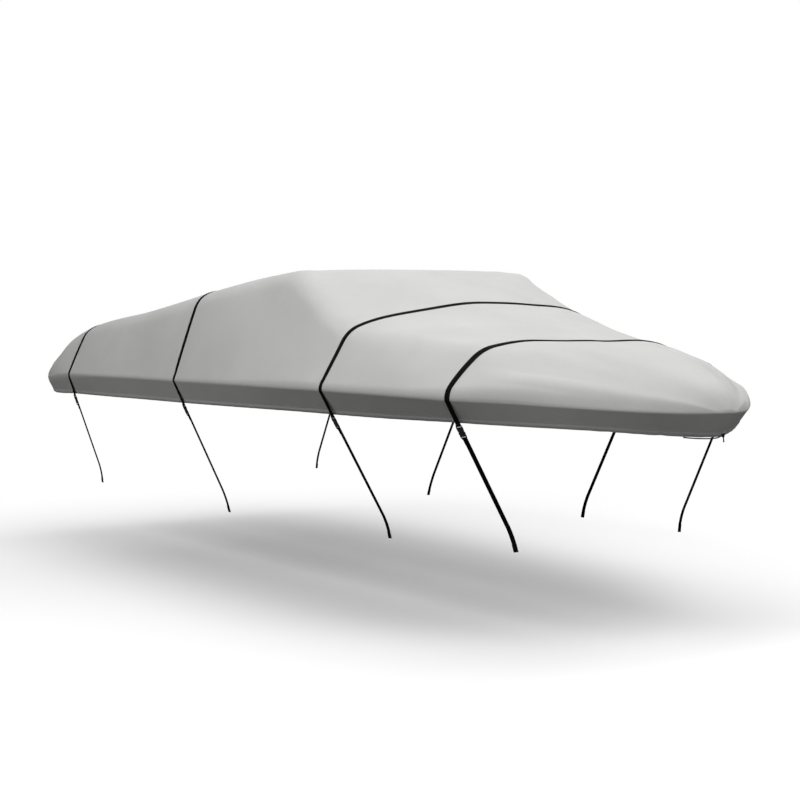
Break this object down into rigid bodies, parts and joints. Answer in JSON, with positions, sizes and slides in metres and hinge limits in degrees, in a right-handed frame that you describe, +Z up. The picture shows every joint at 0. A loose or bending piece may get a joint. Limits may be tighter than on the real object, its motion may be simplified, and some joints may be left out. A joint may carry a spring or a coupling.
{
  "type": "boat cover",
  "caption": "Fitted cloth cover for a runabout boat on its trailer, raised over the windshield, with over-the-top straps, buckles, tie-down straps and a draw cord end.",
  "frame": {"origin": "under the cover's top on its centre line, on the inner face of the cloth over the boat's windshield", "axes": "+X towards the bow, +Y to port, +Z up"},
  "size_m": [5.152, 2.204, 1.425],
  "materials": {
    "cloth": "light grey coated woven polyester, matt",
    "webbing": "black woven webbing and cord, matt",
    "plastic": "black moulded plastic, satin"
  },
  "bodies": {
    "root": {"cover": "cloth", "strap_over_1": "webbing", "strap_over_2": "webbing", "strap_over_3": "webbing", "strap_over_4": "webbing", "buckle_1_starboard": "plastic", "buckle_1_port": "plastic", "buckle_2_starboard": "plastic", "buckle_2_port": "plastic", "buckle_3_starboard": "plastic", "buckle_3_port": "plastic", "buckle_4_starboard": "plastic", "buckle_4_port": "plastic", "strap_lower_1_starboard": "webbing", "strap_lower_1_port": "webbing", "strap_lower_2_starboard": "webbing", "strap_lower_2_port": "webbing", "strap_lower_3_starboard": "webbing", "strap_lower_3_port": "webbing", "strap_lower_4_starboard": "webbing", "strap_lower_4_port": "webbing", "draw_cord": "webbing", "draw_cord_knot": "webbing"}
  },
  "joints": []
}
